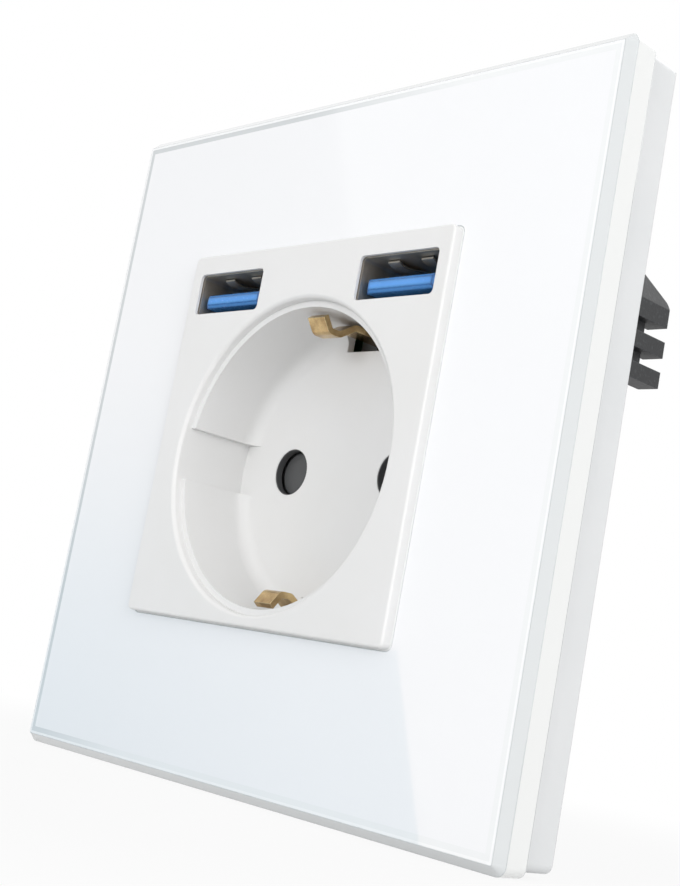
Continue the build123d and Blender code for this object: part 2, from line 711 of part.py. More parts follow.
# Rear housing: shouldered tub, deeper behind the pins, with screw bosses and two terminal combs
bump_level = -well_drop
access_reach = base_half_width - terminal_center - terminal_width / 2
wire_places = [(side * terminal_center, z) for side in (1, -1) for z in notch_heights]
wire_places += [(x, earth_block_middle) for x in (-earth_wire_x, earth_wire_x)]
comb_side = base_half_width - comb_inset
comb_plane = Plane.YZ.offset(comb_side - comb_thickness)
comb_root = base_shoulder + comb_slit_root
pocket_length = comb_back - comb_root
pocket_middle = comb_root + pocket_length / 2
slit_middle = comb_root + comb_slit_depth / 2
with BuildPart() as base_housing:
    with BuildSketch(depth_plane(base_shoulder)) as outline:
        with Locations((0, base_middle)):
            Rectangle(2 * base_half_width, base_height)
        chamfer(outline.vertices().group_by(Axis.Y)[0], base_bottom_chamfer)
        fillet(outline.vertices().group_by(Axis.Y)[-1], base_top_round)
    extrude(amount=base_shoulder)
    with BuildSketch(depth_plane(bump_back)):
        with Locations((0, bump_level)):
            RectangleRounded(bump_width, bump_height, bump_corner)
    extrude(amount=bump_back - base_shoulder)
    with BuildSketch(depth_plane(shoulder_inner)):
        add(outline.sketch.faces()[0].offset(shoulder_inner - base_shoulder))
        offset(amount=-base_wall, kind=Kind.INTERSECTION, mode=Mode.REPLACE)
    extrude(amount=shoulder_inner, mode=Mode.SUBTRACT)
    with BuildSketch(depth_plane(bump_inner)):
        with Locations((0, bump_level)):
            RectangleRounded(bump_width - 2 * base_wall, bump_height - 2 * base_wall, bump_corner - base_wall)
    extrude(amount=bump_inner - shoulder_inner, mode=Mode.SUBTRACT)
    with BuildSketch(depth_plane(shoulder_inner)):
        with Locations(*screw_places):
            Circle(housing_boss_radius)
    extrude(amount=shoulder_inner - boss_meet)
    with BuildSketch(depth_plane(shoulder_inner)):
        with Locations((0, standoff_height)):
            with GridLocations(2 * standoff_place, 0, 2, 1):
                Circle(standoff_radius)
    extrude(amount=shoulder_inner - board_back)
    with BuildSketch(depth_plane(bump_inner)):
        with Locations(well_axis):
            with GridLocations(carrier_width - 2 * post_margin, carrier_height - 2 * post_margin, 2, 2):
                Circle(post_radius)
    extrude(amount=bump_inner - carrier_back)
    with BuildSketch(depth_plane(bump_inner)):
        with Locations(well_axis):
            with GridLocations(pin_spacing, 0, 2, 1):
                Circle(contact_radius + slip_gap + seat_ring_wall)
                Circle(contact_radius + slip_gap, mode=Mode.SUBTRACT)
    extrude(amount=seat_ring_height)
    with BuildSketch(depth_plane(base_shoulder)):
        with Locations(*screw_places):
            Circle(screw_head_diameter / 2 + slip_gap)
    extrude(amount=base_shoulder - screw_seat, mode=Mode.SUBTRACT)
    with BuildSketch(depth_plane(screw_seat)):
        with Locations(*screw_places):
            Circle(screw_diameter / 2 + slip_gap)
    extrude(amount=screw_grip, mode=Mode.SUBTRACT)
    with BuildSketch(depth_plane(base_shoulder)):
        with Locations(*wire_places):
            Circle(wire_hole_diameter / 2)
    extrude(amount=base_wall, mode=Mode.SUBTRACT)
    with BuildSketch(*[plane.offset(access_reach) for plane in grub_planes]):
        Circle(grub_diameter / 2 + slip_gap)
    extrude(amount=-access_reach, mode=Mode.SUBTRACT)
    with BuildSketch(comb_plane) as comb_outline:
        with BuildLine():
            Polyline(
                (shoulder_inner, comb_bottom),
                (comb_back, comb_bottom),
                (comb_back, base_top - comb_bevel_drop),
                (comb_back - comb_bevel_depth, base_top),
                (shoulder_inner, base_top),
                close=True,
            )
        make_face()
        fillet(comb_outline.vertices().group_by(Axis.X)[-1].sort_by(Axis.Y)[-1], comb_nose_round)
        with Locations(*[(comb_back - wire_notch_depth / 2, z) for z in notch_heights]):
            Rectangle(wire_notch_depth, wire_notch, mode=Mode.SUBTRACT)
        with Locations(*[(slit_middle, z) for z in notch_heights]):
            Rectangle(comb_slit_depth, comb_slit_height, mode=Mode.SUBTRACT)
    extrude(amount=comb_thickness)
    with BuildSketch(comb_plane.offset(comb_thickness)):
        with Locations(*[(pocket_middle, z) for z in notch_heights]):
            Rectangle(pocket_length, wire_notch)
    extrude(amount=-comb_pocket, mode=Mode.SUBTRACT)
    with BuildSketch(depth_plane(comb_back)):
        with BuildLine():
            Polyline(
                (comb_side - comb_slope_width, base_top),
                (comb_side, base_top),
                (comb_side, base_top - comb_slope_height),
                close=True,
            )
        make_face()
    extrude(amount=comb_reach, mode=Mode.SUBTRACT)
    right_half = split(bisect_by=Plane.YZ)
    mirror(right_half, about=Plane.YZ)
base_housing.part.label = "base_housing"
export_step(base_housing.part, "parts/base_housing.step")

# Screws that clamp the cover and the housing on the support plate
with BuildPart() as housing_screws:
    with BuildSketch(depth_plane(screw_seat)):
        with Locations(*screw_places):
            Circle(screw_diameter / 2)
    extrude(amount=screw_length)
    with BuildSketch(depth_plane(screw_seat + screw_head_height)):
        with Locations(*screw_places):
            Circle(screw_head_diameter / 2)
    extrude(amount=screw_head_height)
    with BuildSketch(depth_plane(screw_seat + screw_head_height)):
        with Locations(*screw_places):
            Rectangle(screw_head_diameter, screw_slot_width)
            Rectangle(screw_slot_width, screw_head_diameter)
    extrude(amount=screw_slot_depth, mode=Mode.SUBTRACT)
housing_screws.part.label = "housing_screws"
export_step(housing_screws.part, "parts/housing_screws.step")
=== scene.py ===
import logging
import math
from dataclasses import dataclass, field
from enum import Enum
from typing import Any

import bmesh
import bpy
from mathutils import Matrix, Vector, noise


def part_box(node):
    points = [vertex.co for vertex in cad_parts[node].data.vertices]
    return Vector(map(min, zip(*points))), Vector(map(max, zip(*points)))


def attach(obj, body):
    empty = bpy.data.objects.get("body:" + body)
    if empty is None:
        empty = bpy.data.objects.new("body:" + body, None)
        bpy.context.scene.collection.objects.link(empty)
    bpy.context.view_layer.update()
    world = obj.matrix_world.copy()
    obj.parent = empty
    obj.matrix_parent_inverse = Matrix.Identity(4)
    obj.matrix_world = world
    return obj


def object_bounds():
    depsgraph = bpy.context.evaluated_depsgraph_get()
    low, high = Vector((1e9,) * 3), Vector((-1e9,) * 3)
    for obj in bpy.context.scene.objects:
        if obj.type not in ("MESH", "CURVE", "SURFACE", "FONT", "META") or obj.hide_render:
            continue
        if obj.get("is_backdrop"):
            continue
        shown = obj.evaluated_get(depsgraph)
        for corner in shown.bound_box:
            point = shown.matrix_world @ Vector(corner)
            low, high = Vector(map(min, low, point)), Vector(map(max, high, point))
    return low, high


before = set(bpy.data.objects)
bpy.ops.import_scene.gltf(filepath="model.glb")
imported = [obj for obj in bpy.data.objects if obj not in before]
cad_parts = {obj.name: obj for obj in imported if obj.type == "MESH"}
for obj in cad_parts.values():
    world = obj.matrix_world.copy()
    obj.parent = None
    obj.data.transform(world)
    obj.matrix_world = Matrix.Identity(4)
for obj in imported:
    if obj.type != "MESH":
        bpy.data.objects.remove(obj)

MM = 0.001
SOCKET_BODY = "socket"
WHITE = (1.0, 1.0, 1.0, 1.0)
# The sRGB curve is straight up to its knee and a power above it.
SRGB_KNEE, SRGB_SLOPE, SRGB_LIFT, SRGB_POWER = 0.04045, 12.92, 0.055, 2.4
# A Mix node has sockets for each kind of data. These are the two inputs and the output for colours.
MIX_FROM, MIX_TO, MIX_OUT = 6, 7, 2
# Cosines of an edge's turn at which the edge colour goes from none to full: wear on some finishes,
# painted shade on others.
EDGE_NONE, EDGE_FULL = 0.995, 0.93
EDGE_SAMPLES = 6
GRAIN_DETAIL = 2.0
COAT_ROUGHNESS = 0.02
logger = logging.getLogger("wall_socket")


def linear(hex_colour: str) -> tuple[float, float, float, float]:
    """Turns an sRGB hex colour into linear light.

    Args:
        hex_colour: Six hex digits after a hash mark.

    Returns:
        Linear red, green and blue, with an alpha of one.
    """
    channels = [int(hex_colour[start:start + 2], 16) / 255 for start in (1, 3, 5)]
    red, green, blue = (
        c / SRGB_SLOPE if c <= SRGB_KNEE else ((c + SRGB_LIFT) / (1 + SRGB_LIFT)) ** SRGB_POWER
        for c in channels
    )
    return red, green, blue, 1.0


def add_node(
    tree: bpy.types.NodeTree, kind: str, inputs: dict[Any, Any], **settings: Any
) -> bpy.types.Node:
    """Adds one shader node with its settings and links.

    Args:
        tree: The node tree that the node joins.
        kind: The node's type, without its ShaderNode prefix.
        inputs: Socket name or number to a plain value, or to an output socket that is linked to it.
        settings: The node's own properties.

    Returns:
        The new node.
    """
    node = tree.nodes.new("ShaderNode" + kind)
    for name, value in settings.items():
        setattr(node, name, value)
    for socket, value in inputs.items():
        if isinstance(value, bpy.types.NodeSocket):
            tree.links.new(value, node.inputs[socket])
        else:
            node.inputs[socket].default_value = value
    return node


def node_material(name: str) -> tuple[bpy.types.Material, bpy.types.NodeTree]:
    """Makes a node material with an empty tree.

    Args:
        name: The material's name.

    Returns:
        The material and its node tree.
    """
    made = bpy.data.materials.new(name)
    made.use_nodes = True
    made.node_tree.nodes.clear()
    return made, made.node_tree


def heading(azimuth: float, elevation: float) -> Vector:
    """Gives the direction from the object to a lamp or the camera.

    Args:
        azimuth: Turn to the right from straight in front, in degrees.
        elevation: Rise above level, in degrees.

    Returns:
        A vector of length one.
    """
    turn, rise = math.radians(azimuth), math.radians(elevation)
    level = math.cos(rise)
    return Vector((math.sin(turn) * level, -math.cos(turn) * level, math.sin(rise)))


class Drawn(Enum):
    """Direction in which a surface's grain is drawn out by its making."""

    EVEN = (1.0, 1.0, 1.0)
    ALONG_X = (0.04, 1.0, 1.0)
    ALONG_Y = (1.0, 0.04, 1.0)
    ALONG_Z = (1.0, 1.0, 0.04)


class Slot(Enum):
    """The record's material slots named for the scene's own pieces; the pieces take their finish
    from their Finish, not from these.
    """

    FRAME = "frame_white"
    SHUTTER = "shutter_grey"
    HOUSING = "housing_dark"
    SHELL = "shell_steel"


class Port(Enum):
    """The two charging ports, by the end of their nodes' names."""

    LEFT = "left"
    RIGHT = "right"


@dataclass(frozen=True)
class Patches:
    """A noise pattern: its detail, and the noise values at which a colour is absent and full."""

    detail: float
    none: float
    full: float


DRIFT = Patches(detail=3.0, none=0.3, full=0.7)
FLECKS = Patches(detail=1.0, none=0.58, full=0.68)


@dataclass(frozen=True)
class Finish:
    """A real material and the marks that its making leaves, in sRGB hex and millimetres."""

    name: str
    colour: str
    drift: str
    roughness: float
    polish: float = 0.04
    metallic: float = 0.0
    ior: float = 1.5
    coat: float = 0.0
    drift_mm: float = 14.0
    grain_mm: float = 0.4
    grain_depth_mm: float = 0.004
    drawn: Drawn = Drawn.EVEN
    fleck: str = ""
    fleck_mm: float = 0.3
    # Colour along rounded edges: wear on most finishes, painted shade on the glass, the port shells
    # and the tongues.
    edge: str = ""
    edge_mm: float = 0.15

    def skin(self, tree: bpy.types.NodeTree, place: bpy.types.NodeSocket) -> bpy.types.NodeSocket:
        """Adds the colour away from the edges: slow drift, and flecks where there are any.

        Args:
            tree: The material's node tree.
            place: The object's own coordinates.

        Returns:
            The colour output.
        """
        tone: Any = linear(self.colour)
        layers = ((self.drift, self.drift_mm, DRIFT), (self.fleck, self.fleck_mm, FLECKS))
        for colour, size_mm, patches in layers:
            if not colour:
                continue
            cloud = add_node(
                tree,
                "TexNoise",
                {"Vector": place, "Scale": 1 / (size_mm * MM), "Detail": patches.detail},
            ).outputs[0]
            share = add_node(
                tree, "MapRange", {0: cloud, "From Min": patches.none, "From Max": patches.full}
            ).outputs[0]
            tone = add_node(
                tree, "Mix", {0: share, MIX_FROM: tone, MIX_TO: linear(colour)}, data_type="RGBA"
            ).outputs[MIX_OUT]
        return tone

    def material(self) -> bpy.types.Material:
        """Makes the finish's material, or gives the one already made."""
        made = bpy.data.materials.get(self.name)
        if made:
            return made
        made, tree = node_material(self.name)
        place = add_node(tree, "TexCoord", {}).outputs["Object"]
        tone = self.skin(tree, place)
        rounded = add_node(
            tree, "Bevel", {"Radius": self.edge_mm * MM}, samples=EDGE_SAMPLES
        ).outputs[0]
        # Rounded edges take the edge colour: wear on some finishes, painted shade on others.
        if self.edge:
            flat = add_node(tree, "NewGeometry", {}).outputs["True Normal"]
            turn = add_node(
                tree, "VectorMath", {0: flat, 1: rounded}, operation="DOT_PRODUCT"
            ).outputs["Value"]
            edge_wear_and_shade = add_node(
                tree, "MapRange", {0: turn, "From Min": EDGE_NONE, "From Max": EDGE_FULL}
            ).outputs[0]
            tone = add_node(
                tree, "Mix", {0: edge_wear_and_shade, MIX_FROM: tone, MIX_TO: linear(self.edge)}, data_type="RGBA"
            ).outputs[MIX_OUT]
        lay = add_node(
            tree, "VectorMath", {0: place, 1: self.drawn.value}, operation="MULTIPLY"
        ).outputs[0]
        grain = add_node(
            tree,
            "TexNoise",
            {"Vector": lay, "Scale": 1 / (self.grain_mm * MM), "Detail": GRAIN_DETAIL},
        ).outputs[0]
        bump = add_node(
            tree, "Bump", {"Height": grain, "Distance": self.grain_depth_mm * MM, "Normal": rounded}
        ).outputs[0]
        gloss = add_node(
            tree,
            "MapRange",
            {
                0: grain,
                "To Min": self.roughness - self.polish,
                "To Max": self.roughness + self.polish,
            },
        ).outputs[0]
        shader = add_node(
            tree,
            "BsdfPrincipled",
            {
                "Base Color": tone,
                "Metallic": self.metallic,
                "Roughness": gloss,
                "IOR": self.ior,
                "Normal": bump,
                "Coat Weight": self.coat,
                "Coat Roughness": COAT_ROUGHNESS,
            },
        )
        add_node(tree, "OutputMaterial", {"Surface": shader.outputs[0]})
        return made


@dataclass(frozen=True)
class PaintedGlass(Finish):
    """Glass with paint behind its face, a clear rim, a bevel finished by grinding whose grey is
    partly painted shade, and polished sides.

    The two spans give how far a normal points into the wall where a surface starts to count as
    face or bevel, and where it counts in full.
    """

    # The bevel's grey is the ground glass and painted shade together.
    ground_and_shade: str = "#D0D3D4"
    side: str = "#EAEBEA"
    rim: str = "#F6F7F8"
    line: str = "#CDD1D3"
    # The line's colour is painted shade, paler towards the lower right as painted light.
    line_painted_light: str = "#EEF0F1"
    line_painted_light_towards: tuple[float, float, float] = (1.0, 0.0, -0.5)
    line_painted_light_mm: tuple[float, float] = (-30.0, 0.0)
    bevel_mm: float = 1.0
    rim_mm: float = 0.35
    line_mm: float = 0.65
    face_span: tuple[float, float] = (-0.85, -0.95)
    bevel_span: tuple[float, float] = (-0.35, -0.5)

    def skin(self, tree: bpy.types.NodeTree, place: bpy.types.NodeSocket) -> bpy.types.NodeSocket:
        """Adds the paint, the line where it stops at the clear rim, the grey bevel and pale sides.

        The line marks where the paint stops, and its grey is painted shade: deep at the upper left
        and pale at the lower right, as painted light from that side.

        Args:
            tree: The material's node tree.
            place: The object's own coordinates.

        Returns:
            The colour output.
        """
        paint = super().skin(tree, place)
        _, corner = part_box("glass_panel")
        spread = add_node(tree, "VectorMath", {0: place}, operation="ABSOLUTE").outputs[0]
        away = add_node(tree, "SeparateXYZ", {0: spread}).outputs
        reach = add_node(tree, "Math", {0: away["X"], 1: away["Z"]}, operation="MAXIMUM").outputs[0]
        stop = corner.x - (self.bevel_mm + self.rim_mm) * MM
        outside = add_node(tree, "Math", {0: reach, 1: stop}, operation="GREATER_THAN").outputs[0]
        half = self.line_mm / 2 * MM
        along = add_node(
            tree, "Math", {0: reach, 1: stop - half, 2: half}, operation="COMPARE"
        ).outputs[0]
        paint = add_node(
            tree, "Mix", {0: outside, MIX_FROM: paint, MIX_TO: linear(self.rim)}, data_type="RGBA"
        ).outputs[MIX_OUT]
        # Painted light and shade on the line: deep grey towards the upper left, pale towards the
        # lower right.
        towards = add_node(
            tree, "VectorMath", {0: place, 1: self.line_painted_light_towards}, operation="DOT_PRODUCT"
        ).outputs["Value"]
        deep, pale = self.line_painted_light_mm
        painted_light_share = add_node(
            tree, "MapRange", {0: towards, "From Min": deep * MM, "From Max": pale * MM}
        ).outputs[0]
        line = add_node(
            tree,
            "Mix",
            {0: painted_light_share, MIX_FROM: linear(self.line), MIX_TO: linear(self.line_painted_light)},
            data_type="RGBA",
        ).outputs[MIX_OUT]
        paint = add_node(
            tree, "Mix", {0: along, MIX_FROM: paint, MIX_TO: line}, data_type="RGBA"
        ).outputs[MIX_OUT]
        flat = add_node(tree, "NewGeometry", {}).outputs["True Normal"]
        depth = add_node(tree, "SeparateXYZ", {0: flat}).outputs["Y"]
        face, bevel = (
            add_node(tree, "MapRange", {0: depth, "From Min": none, "From Max": full}).outputs[0]
            for none, full in (self.face_span, self.bevel_span)
        )
        tone = add_node(
            tree,
            "Mix",
            {0: bevel, MIX_FROM: linear(self.side), MIX_TO: linear(self.ground_and_shade)},
            data_type="RGBA",
        ).outputs[MIX_OUT]
        return add_node(
            tree, "Mix", {0: face, MIX_FROM: tone, MIX_TO: paint}, data_type="RGBA"
        ).outputs[MIX_OUT]


# Tool marks and rolling lines are finer than about 0.1 mm and would not show, so they are drawn
# coarser than they are, at 0.1 to 0.6 mm. The soft unevenness of the sleeve and the glue has its
# own size, and the glass has only a slow change of gloss.

# Float glass painted white on its back, with a bevel finished by grinding: a deep cool white under
# a hard gloss. The bevel's grey is partly painted shade, and the grey lines along its edges are
# painted shade.
GLASS = PaintedGlass(
    name="float_glass_painted_behind", colour="#F3F4F6", drift="#F1F2F4", roughness=0.03,
    polish=0.005, ior=1.52, coat=1.0, drift_mm=60.0, grain_mm=40.0, grain_depth_mm=0.0,
    edge="#A7AEB1", edge_mm=0.2,
)
# ABS moulded in a polished tool: a soft satin white, a touch warmer than the glass.
COVER_ABS = Finish(
    name="abs_moulded_satin_white", colour="#E5E5E5", drift="#E2E2E1", roughness=0.34, ior=1.54,
    grain_mm=0.5, grain_depth_mm=0.003, edge_mm=0.12,
)
# ABS moulded in a stoned tool: plain white that looks grey where it turns from the light.
FRAME_ABS = Finish(
    name="abs_moulded_plain_white", colour="#E0E1E2", drift="#DADCDD", roughness=0.42, ior=1.54,
    grain_mm=0.6, grain_depth_mm=0.006,
)
# Glass-filled polyamide from a spark-eroded tool: charcoal, with a pebbled skin that breaks up the
# light. The pebbles, about 0.1 mm on the real thing, are drawn at 0.45 mm so that they show.
HOUSING_POLYAMIDE = Finish(
    name="polyamide_glass_filled_spark_eroded", colour="#252628", drift="#1D1E20", roughness=0.56,
    ior=1.53, grain_mm=0.45, grain_depth_mm=0.03, fleck="#323436", fleck_mm=0.5, edge="#3A3C3F",
    edge_mm=0.18,
)
# Unfilled polyamide from a polished tool: a mid grey with a waxy sheen.
SHUTTER_POLYAMIDE = Finish(
    name="polyamide_moulded_grey", colour="#565758", drift="#4C4D4E", roughness=0.4, ior=1.53,
    grain_mm=0.4, edge="#636465", edge_mm=0.12,
)
# Unfilled polyamide from a plain tool: a pale grey that goes dark deep in the windows.
CARRIER_POLYAMIDE = Finish(
    name="polyamide_moulded_pale_grey", colour="#A6A7A8", drift="#9A9B9C", roughness=0.45,
    ior=1.53, grain_mm=0.4,
)
# Rolled brass strip, bare: pale gold, with lines along the rolling and a brown bloom.
STRIP_BRASS = Finish(
    name="brass_rolled_strip", colour="#DCC08E", drift="#9E815A", roughness=0.24, polish=0.08,
    metallic=1.0, drift_mm=2.0, grain_mm=0.2, grain_depth_mm=0.004, drawn=Drawn.ALONG_Z,
    edge="#E9D5AA", edge_mm=0.1,
)
# Sawn brass bar: golden, with tool lines across it.
BAR_BRASS = Finish(
    name="brass_sawn_bar", colour="#D2B070", drift="#BE9A58", roughness=0.32, polish=0.08,
    metallic=1.0, drift_mm=4.0, grain_mm=0.2, grain_depth_mm=0.008, drawn=Drawn.ALONG_X,
    edge="#E6CB8C", edge_mm=0.1,
)
# Phosphor bronze with a gold flash: a clean warm yellow with faint lines along the blades.
BLADE_BRONZE = Finish(
    name="phosphor_bronze_gold_flashed", colour="#E0BC66", drift="#D2AC55", roughness=0.24,
    metallic=1.0, grain_mm=0.2, drawn=Drawn.ALONG_Y,
)
# Pressed steel with bright zinc plating: pale blue grey with faint clouds.
ZINC_STEEL = Finish(
    name="steel_pressed_zinc_plated", colour="#C6CACD", drift="#AEB5BB", roughness=0.34,
    polish=0.08, metallic=1.0, drift_mm=2.5, grain_mm=0.25, grain_depth_mm=0.006, edge="#DADDDF",
    edge_mm=0.12,
)
# Drawn spring wire: grey, with lines along the wire.
SPRING_WIRE = Finish(
    name="spring_steel_drawn_wire", colour="#A9AAAC", drift="#8E9093", roughness=0.3, metallic=1.0,
    drift_mm=2.0, grain_mm=0.1, drawn=Drawn.ALONG_Y,
)
# Folded steel strip with nickel plating: a warm grey with faint lines along the fold; its darker
# edges are painted shade that darkens the outline of the port windows.
SHELL_STEEL = Finish(
    name="steel_folded_nickel_plated", colour="#D2CABF", drift="#B8B0A5", roughness=0.48,
    metallic=1.0, drift_mm=3.0, grain_mm=0.15, grain_depth_mm=0.003, drawn=Drawn.ALONG_Y,
    edge="#7A756E", edge_mm=0.12,
)
# PBT moulding: saturated blue with a slight gloss; the deeper blue along its rounded edges is
# painted shade.
TONGUE_PBT = Finish(
    name="pbt_moulded_blue", colour="#579DE6", drift="#488FDA", roughness=0.26, grain_mm=0.3,
    ior=1.55, edge="#143C76", edge_mm=0.6,
)
# Solder resist on glass laminate: green, faintly uneven from the weave below it.
BOARD_RESIST = Finish(
    name="laminate_green_solder_resist", colour="#1F6B41", drift="#185836", roughness=0.35,
    grain_mm=0.6, grain_depth_mm=0.01,
)
# Pressed and sintered ferrite under tape: near black and dull.
CORE_FERRITE = Finish(
    name="ferrite_pressed_taped", colour="#343435", drift="#2A2A2B", roughness=0.55, grain_mm=0.3,
    grain_depth_mm=0.01,
)
# Shrunk PVC sleeve: black with a soft gloss.
SLEEVE_PVC = Finish(
    name="pvc_shrunk_sleeve", colour="#2B2C30", drift="#232427", roughness=0.28, ior=1.53,
    grain_mm=1.5,
)
# Extruded silicone: a soft, dull white that closes the joint without a dark line.
SEAL_SILICONE = Finish(
    name="silicone_extruded_seal", colour="#F1F2F2", drift="#ECEDED", roughness=0.45, ior=1.41,
    grain_mm=0.3,
)
# Cured silicone adhesive: cloudy white, smooth and a little uneven.
GLUE_SILICONE = Finish(
    name="silicone_cured_bead", colour="#DDE0E0", drift="#CDD2D3", roughness=0.28, ior=1.41,
    drift_mm=4.0, grain_mm=1.2, grain_depth_mm=0.02,
)


@dataclass
class SubAssembly:
    """Pieces that come off the bench together."""

    name: str = ""
    ring_steps: int = 48
    sharp_angle: float = 35.0

    def finishes(self) -> dict[str, Finish]:
        """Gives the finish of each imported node."""
        return {}

    def build(self) -> None:
        """Adds the sub-assembly's own fine pieces, where it has any."""

    @staticmethod
    def tube(first: int, sections: int, corners: int, closed: bool) -> list[tuple[int, ...]]:
        """Gives the faces between neighbouring sections of a tube.

        Args:
            first: Number of the tube's first corner.
            sections: How many sections it has.
            corners: How many corners each section has.
            closed: Whether the last section joins the first.

        Returns:
            The corners of each face.
        """
        faces = []
        for section in range(sections if closed else sections - 1):
            here = first + section * corners
            there = first + (section + 1) % sections * corners
            for edge in range(corners):
                onward = (edge + 1) % corners
                faces.append((here + edge, here + onward, there + onward, there + edge))
        return faces

    def add(
        self,
        name: str,
        points: list[Vector],
        faces: list[tuple[int, ...]],
        finish: Finish,
        slot: Slot,
    ) -> None:
        """Adds a piece that rides on the socket's body.

        Args:
            name: The piece's name.
            points: Its corners, in metres.
            faces: The corners of each face.
            finish: What it is made of.
            slot: The record's material slot; not used.
        """
        mesh = bpy.data.meshes.new(name)
        mesh.from_pydata(points, [], faces)
        mesh.validate()
        shape = bmesh.new()
        shape.from_mesh(mesh)
        bmesh.ops.recalc_face_normals(shape, faces=shape.faces)
        shape.to_mesh(mesh)
        shape.free()
        mesh.shade_smooth()
        mesh.set_sharp_from_angle(angle=math.radians(self.sharp_angle))
        mesh.materials.append(finish.material())
        piece = bpy.data.objects.new(name, mesh)
        bpy.context.scene.collection.objects.link(piece)
        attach(piece, SOCKET_BODY)
        logger.info("%s: %s built in %s", self.name, name, finish.name)

    def rings(
        self,
        name: str,
        centres: list[Vector],
        section: tuple[tuple[float, float], ...],
        finish: Finish,
        slot: Slot,
    ) -> None:
        """Adds rings that lie in planes along the wall.

        Args:
            name: The piece's name.
            centres: Middle of each ring, in metres.
            section: Radius and depth of each corner of a ring's section, in millimetres.
            finish: What the rings are made of.
            slot: The record's material slot; not used.
        """
        points: list[Vector] = []
        faces: list[tuple[int, ...]] = []
        for centre in centres:
            faces += self.tube(len(points), self.ring_steps, len(section), closed=True)
            for step in range(self.ring_steps):
                turn = 2 * math.pi * step / self.ring_steps
                for radius, depth in section:
                    corner = Vector((radius * math.cos(turn), depth, radius * math.sin(turn)))
                    points.append(centre + corner * MM)
        self.add(name, points, faces, finish, slot)

    def dress(self) -> None:
        """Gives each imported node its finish."""
        for node, finish in self.finishes().items():
            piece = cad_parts[node]
            piece.data.materials.clear()
            piece.data.materials.append(finish.material())
            logger.info("%s: %s dressed in %s", self.name, node, finish.name)


@dataclass
class GlassFront(SubAssembly):
    """The glass panel, the tray behind it, their glue and the insert's seal, in millimetres."""

    name: str = "glass front"
    glue_radius: float = 0.32
    glue_swell: float = 0.07
    glue_wave: float = 5.0
    glue_ripple: float = 3.0
    glue_ripple_share: float = 0.5
    glue_sink: float = 0.12
    tray_corner: float = 1.0
    seal_radius: float = 0.11
    seal_sink: float = 0.1
    seam: float = 0.06
    insert_corner: float = 0.7
    corner_steps: int = 5
    run_steps: int = 30
    round_steps: int = 10

    def finishes(self) -> dict[str, Finish]:
        """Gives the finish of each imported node."""
        return {"glass_panel": GLASS, "panel_frame": FRAME_ABS}

    def path(self, half: float, corner: float) -> list[Vector]:
        """Gives the points of a square with round corners.

        Args:
            half: Half the square's side, in metres.
            corner: The corners' radius, in metres.

        Returns:
            The points in the wall's plane, in order.
        """
        arcs = []
        for quarter, (sign_x, sign_z) in enumerate(((1, 1), (-1, 1), (-1, -1), (1, -1))):
            centre = Vector((sign_x * (half - corner), 0.0, sign_z * (half - corner)))
            arc = []
            for step in range(self.corner_steps + 1):
                turn = math.pi / 2 * (quarter + step / self.corner_steps)
                arc.append(centre + corner * Vector((math.cos(turn), 0.0, math.sin(turn))))
            arcs.append(arc)
        points = []
        for arc, following in zip(arcs, arcs[1:] + arcs[:1]):
            points += arc
            shares = [step / self.run_steps for step in range(1, self.run_steps)]
            points += [arc[-1].lerp(following[0], share) for share in shares]
        return points

    def bead(
        self, name: str, path: list[Vector], radius: float, swell: float, finish: Finish
    ) -> None:
        """Lays a round bead along a closed path.

        Args:
            name: The bead's name.
            path: The points that its middle follows, in metres.
            radius: Its radius in millimetres.
            swell: How far the radius wanders, in millimetres.
            finish: What it is made of.
        """
        into_wall = Vector((0.0, 1.0, 0.0))
        points = []
        for number, middle in enumerate(path):
            ahead = (path[(number + 1) % len(path)] - path[number - 1]).normalized()
            out = ahead.cross(into_wall).normalized()
            along = middle / (self.glue_wave * MM)
            ripple = noise.noise(along * self.glue_ripple) * self.glue_ripple_share
            wander = noise.noise(along) + ripple
            size = (radius + swell * wander) * MM
            for step in range(self.round_steps):
                turn = 2 * math.pi * step / self.round_steps
                points.append(middle + size * (out * math.cos(turn) + into_wall * math.sin(turn)))
        faces = self.tube(0, len(path), self.round_steps, closed=True)
        self.add(name, points, faces, finish, Slot.FRAME)

    def build(self) -> None:
        """Lays the glue in the corner between glass and tray, and the seal round the insert."""
        glass_low, glass_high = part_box("glass_panel")
        _, tray_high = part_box("panel_frame")
        _, insert_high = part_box("socket_cover")
        at_back = Vector((0.0, glass_high.y, 0.0))
        glue = self.path(tray_high.x - self.glue_sink * MM, self.tray_corner * MM)
        glue = [point + at_back for point in glue]
        self.bead("glue_bead", glue, self.glue_radius, self.glue_swell, GLUE_SILICONE)
        at_front = Vector((0.0, glass_low.y + self.seal_sink * MM, 0.0))
        middle = self.seam / 2
        seal = self.path(insert_high.x + middle * MM, (self.insert_corner + middle) * MM)
        seal = [point + at_front for point in seal]
        self.bead("joint_seal", seal, self.seal_radius, 0.0, SEAL_SILICONE)


